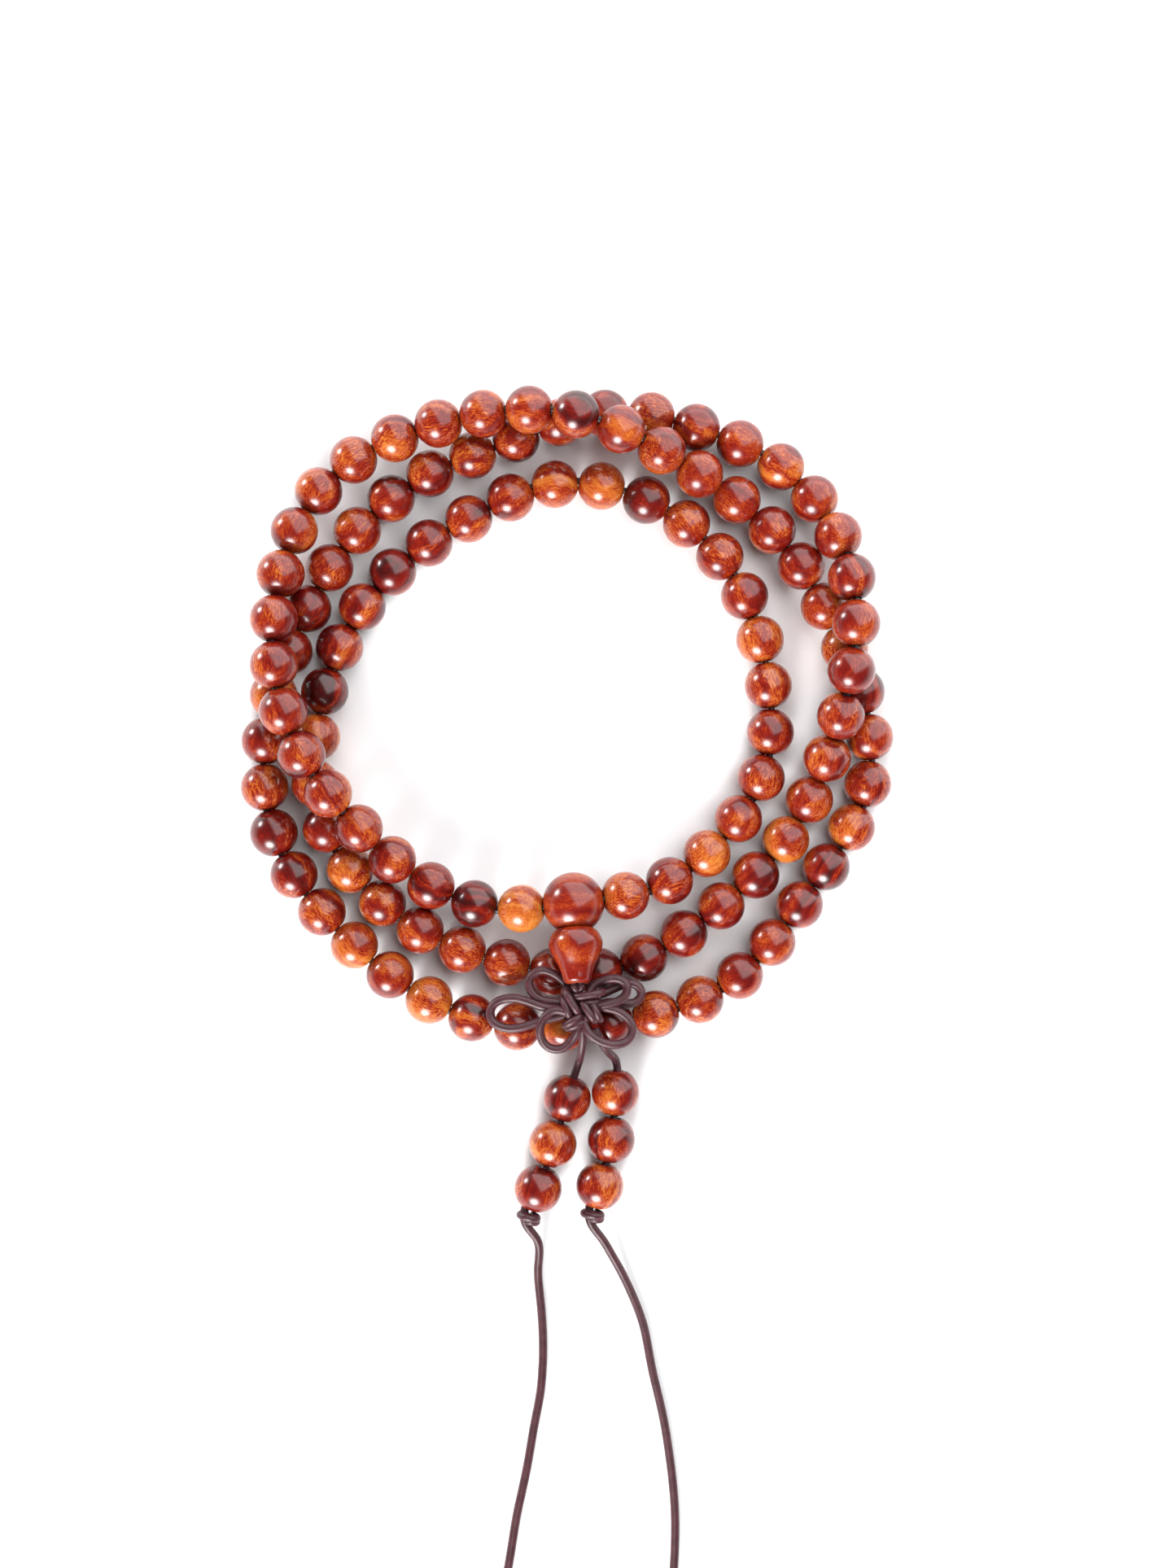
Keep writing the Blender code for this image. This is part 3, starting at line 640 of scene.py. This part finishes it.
def loop_bead(i):
    rng = np.random.RandomState(1000 + i)
    size = rng.uniform(0.992, 1.004)
    obj = lathe(
        f"wrap_bead_{i:03d}", bead_profile(BEAD_R * size, 0.72, 30, rng.uniform(1.15, 1.22)), 48,
        rosewood(f"rosewood_{i:03d}", 40 + i, tone_of(i, rng), rng.uniform(0.8, 1.35), rng.uniform(0.38, 0.62)),
    )
    # The two beads beside the guru bead sit close against it.
    snug = {1: -0.22, BEADS: 0.22}.get(i, 0.0)
    obj.matrix_world = Matrix.Translation(world(centre[i] + axis[i] * snug)) @ facing(axis[i], rng.uniform(0, math.tau))
    return obj


for i in range(1, BEADS + 1):
    bead = loop_bead(i)
    if i in SINGLES:
        node, body = f"bead_{i:03d}", f"bead_{i:03d}"
    else:
        first = i - (i - SINGLES[5] - 1) % RUN
        node, body = f"beads_{first:03d}_to_{first + RUN - 1:03d}", "ring"
    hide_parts(node)
    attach(bead, body)

# Guru bead: its third hole runs towards the knot, along the stem aimed here; the bead's mesh is turned with its through
# hole only.
guru = centre[0]
to_knot = np.array(STEM_AIM) - guru[:2]
to_knot /= np.linalg.norm(to_knot)
stem = np.array([to_knot[0] * math.cos(STEM_RISE), to_knot[1] * math.cos(STEM_RISE), math.sin(STEM_RISE)])
guru_bead = lathe("guru", bead_profile(GURU_R, 0.72, 44, 1.2), 80, rosewood("rosewood_guru", 907, 0.46, 0.75, 0.30, 0.8))
guru_bead.matrix_world = Matrix.Translation(world(guru)) @ facing(axis[0], 2.0)
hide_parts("guru_bead")
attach(guru_bead, "pendant")

tower_outside = [(3.15, TOWER_START), (3.72, 4.82), (4.15, 5.5), (4.42, 6.2), (4.5, 6.95), (4.28, 7.9), (3.62, 9.3), (3.06, 10.37),
                 (2.6, 11.6), (2.36, 12.6), (2.1, 13.1), (1.6, TOWER_END)]
outer = eased(tower_outside, 6)
dish = math.sqrt(TOWER_START**2 + 3.15**2)
inner = [(1.42, TOWER_END + 0.03), (1.27, TOWER_END - 0.05), (1.20, TOWER_END - 0.25), (1.20, math.sqrt(dish**2 - 1.2**2)), (2.2, math.sqrt(dish**2 - 2.2**2))]
tower = lathe("tower", [(r, -t) for r, t in outer + inner], 72, rosewood("rosewood_tower", 911, 0.44, 0.8, 0.34, 0.8))
tower.matrix_world = Matrix.Translation(world(guru)) @ facing(-stem, 1.2)
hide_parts("tower_bead")
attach(tower, "tower")

# ---------------------------------------------------------------- loop elastic and stem cord
# A quarter as bright as the covered elastic: painted shade, for the elastic seen in the gaps between beads and for the
# dark core of the knot
shade_mat = thread("painted_shade_thread", 0.25, 5)
plum = thread("covered_elastic", 1.0, 2)
line = []
for i in range(COUNT):
    line += [gaps[i - 1], centre[i]]
line.append(line[0])
loop = covered_cord("loop_elastic", line, LOOP_CORD_D / 2, shade_mat, pitch=0.9, depth=0.03, around=8, starts=1, cyclic=True, steps=2)
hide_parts("loop_cord")
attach(loop, "ring")

flat = np.cross(stem, (0, 0, 1.0))
flat /= np.linalg.norm(flat)
mouth = guru + stem * TOWER_END
for side, sign in (("a", -1), ("b", 1)):
    strand = covered_cord(f"stem_strand_{side}", [guru + stem * t + flat * sign * 0.58 for t in (2.0, 6.0, 10.0, TOWER_END + 0.12)], 0.56, plum, depth=0.035)
    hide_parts("stem_cord")
    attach(strand, "pendant")
    root = covered_cord(
        f"root_{side}", [mouth + stem * 0.16 + flat * sign * 0.58, mouth + stem * 0.6 + flat * sign * 0.60 + np.array((0, 0, -0.15)),
                         np.array((-1.35 + sign * 0.62, -34.5, 10.2)), np.array((-1.2 + sign * 0.7, -35.8, 9.4))], 0.56, plum, depth=0.035)
    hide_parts("flower_knot")
    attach(root, "knot")

# ---------------------------------------------------------------- tails
for side, tail in TAILS.items():
    beads = [np.array([x, y, BEAD_R]) for x, y in tail["beads"]]
    up = [unit(np.array([a - b]))[0] for a, b in zip(beads, beads[1:])]
    ways = [up[0], unit(np.array([up[0] + up[1]]))[0], up[1]]
    upper = [b + w * (BEAD_HALF + 0.2) for b, w in zip(beads, ways)]
    lower = [b - w * (BEAD_HALF + 0.2) for b, w in zip(beads, ways)]
    straight = [upper[0], (lower[0] + upper[1]) / 2, (lower[1] + upper[2]) / 2]
    under = beads[2] - ways[2] * (BEAD_HALF + 0.25 + STOPPER_L + 0.2)
    route = list(smooth(tail["lead"] + [tuple(upper[0])], 1.6)) + straight[1:] + list(smooth([tuple(under)] + tail["floor"], 4.0))
    cord = covered_cord(f"tail_{side}", route, TAIL_CORD_D / 2, plum, around=16, radii=[0.69, 0.67, 0.70] + [TAIL_CORD_D / 2] * 28)
    path = spline_points(route, 1.5)
    for k in range(3):
        rng = np.random.RandomState(2000 + k + (10 if side == "left" else 20))
        tone = {"left": (0.36, 0.62, 0.40), "right": (0.46, 0.30, 0.50)}[side][k]
        bead = lathe(
            f"counter_{side}_{k + 1}", bead_profile(BEAD_R, 0.95, 30), 48,
            rosewood(f"rosewood_{side}_{k + 1}", 300 + 7 * k + (0 if side == "left" else 50), tone, 1.25, 0.5),
        )
        bead.matrix_world = Matrix.Translation(world(beads[k])) @ facing(ways[k], rng.uniform(0, math.tau))
        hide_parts(f"tail_bead_{side}_{k + 1}")
        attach(bead, f"tail_bead_{side}_{k + 1}")
    # Overhand knot: the cord leaves its line, winds round it and tucks under itself.
    middle = beads[2] - ways[2] * (BEAD_HALF + 0.3 + STOPPER_L / 2)
    w = ways[2]
    u = np.array((w[1], -w[0], 0.0))
    v = np.array((0.0, 0.0, 1.0))
    turns = []
    for k in range(27):
        t = k / 26
        angle = math.radians(-60 + 500 * t)
        reach = 1.40 * min(1.0, 0.30 + 4.2 * min(t, 1 - t))
        turns.append(middle + w * (0.62 - 1.24 * t) * 0.8 + (u * math.cos(angle) + v * math.sin(angle)) * reach)
    stopper = covered_cord(f"stopper_{side}", turns, 0.74, plum, around=14)
    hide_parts(f"stopper_knot_{side}")
    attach(stopper, f"tail_{side}")
    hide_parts(f"tail_cord_{side}")
    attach(cord, f"tail_{side}")

# ---------------------------------------------------------------- flower knot
for name, petal in PETALS.items():
    # drawn in a little where it passes the tower bead, so that the knot can swing
    slim = (0.70, 0.67, 0.66, 0.68, 0.72, 0.75, 0.75, 0.75, 0.75, 0.75, 0.75) if name == "upper_left" else None
    loop = covered_cord(f"petal_{name}", petal, TAIL_CORD_D / 2, plum, around=16, radii=slim)
    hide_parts("flower_knot")
    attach(loop, "knot")

# The woven middle: short bights that rise over each other and dive under again, round a dark core that is painted
# shade.
WEAVE = {
    "top": ((-1.75, -35.05), (1.75, -34.45), 11.35), "top_under": ((-1.2, -36.15), (1.1, -36.0), 10.7),
    "left": ((-3.50, -34.55), (-1.80, -37.45), 11.45), "left_outer": ((-3.95, -35.9), (-3.05, -38.2), 11.05),
    "right": ((-0.75, -36.3), (0.80, -38.6), 11.40), "right_outer": ((0.75, -36.4), (1.75, -38.4), 11.05),
    "low": ((-3.30, -39.55), (-1.45, -38.35), 11.25), "low_outer": ((-2.80, -40.15), (-0.80, -39.25), 10.95),
    "heart": ((-0.5, -39.3), (-0.25, -38.2), 10.6),
}
for name, (start, end, top) in WEAVE.items():
    start, end = np.array((*start, top - 0.35)), np.array((*end, top - 0.35))
    way = (end - start) / np.linalg.norm(end - start)
    down = np.array((0.0, 0.0, 1.0))
    bight = [start - way * 0.62 - down * 1.5, start - way * 0.40 - down * 0.55, start, (start + end) / 2 + down * 0.35, end,
             end + way * 0.40 - down * 0.55, end + way * 0.62 - down * 1.5]
    strand = covered_cord(f"weave_{name}", bight, 0.64, plum, around=16)
    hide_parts("flower_knot")
    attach(strand, "knot")
# Painted shade: a dark ellipsoid in the middle of the knot, where shade falls under the bights
shade_core_shape = bmesh.new()
bmesh.ops.create_uvsphere(shade_core_shape, u_segments=32, v_segments=20, radius=1.0)
bmesh.ops.scale(shade_core_shape, vec=Vector((2.7, 2.5, 1.25)) * MM, verts=shade_core_shape.verts)
shade_core_mesh = bpy.data.meshes.new("knot_painted_shade")
shade_core_shape.to_mesh(shade_core_mesh)
shade_core_shape.free()
heart = new_object("knot_painted_shade", shade_core_mesh, shade_mat)
heart.location = world(np.array(KNOT_AT) + np.array((0, 0, -0.1)))
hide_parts("flower_knot")
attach(heart, "knot")
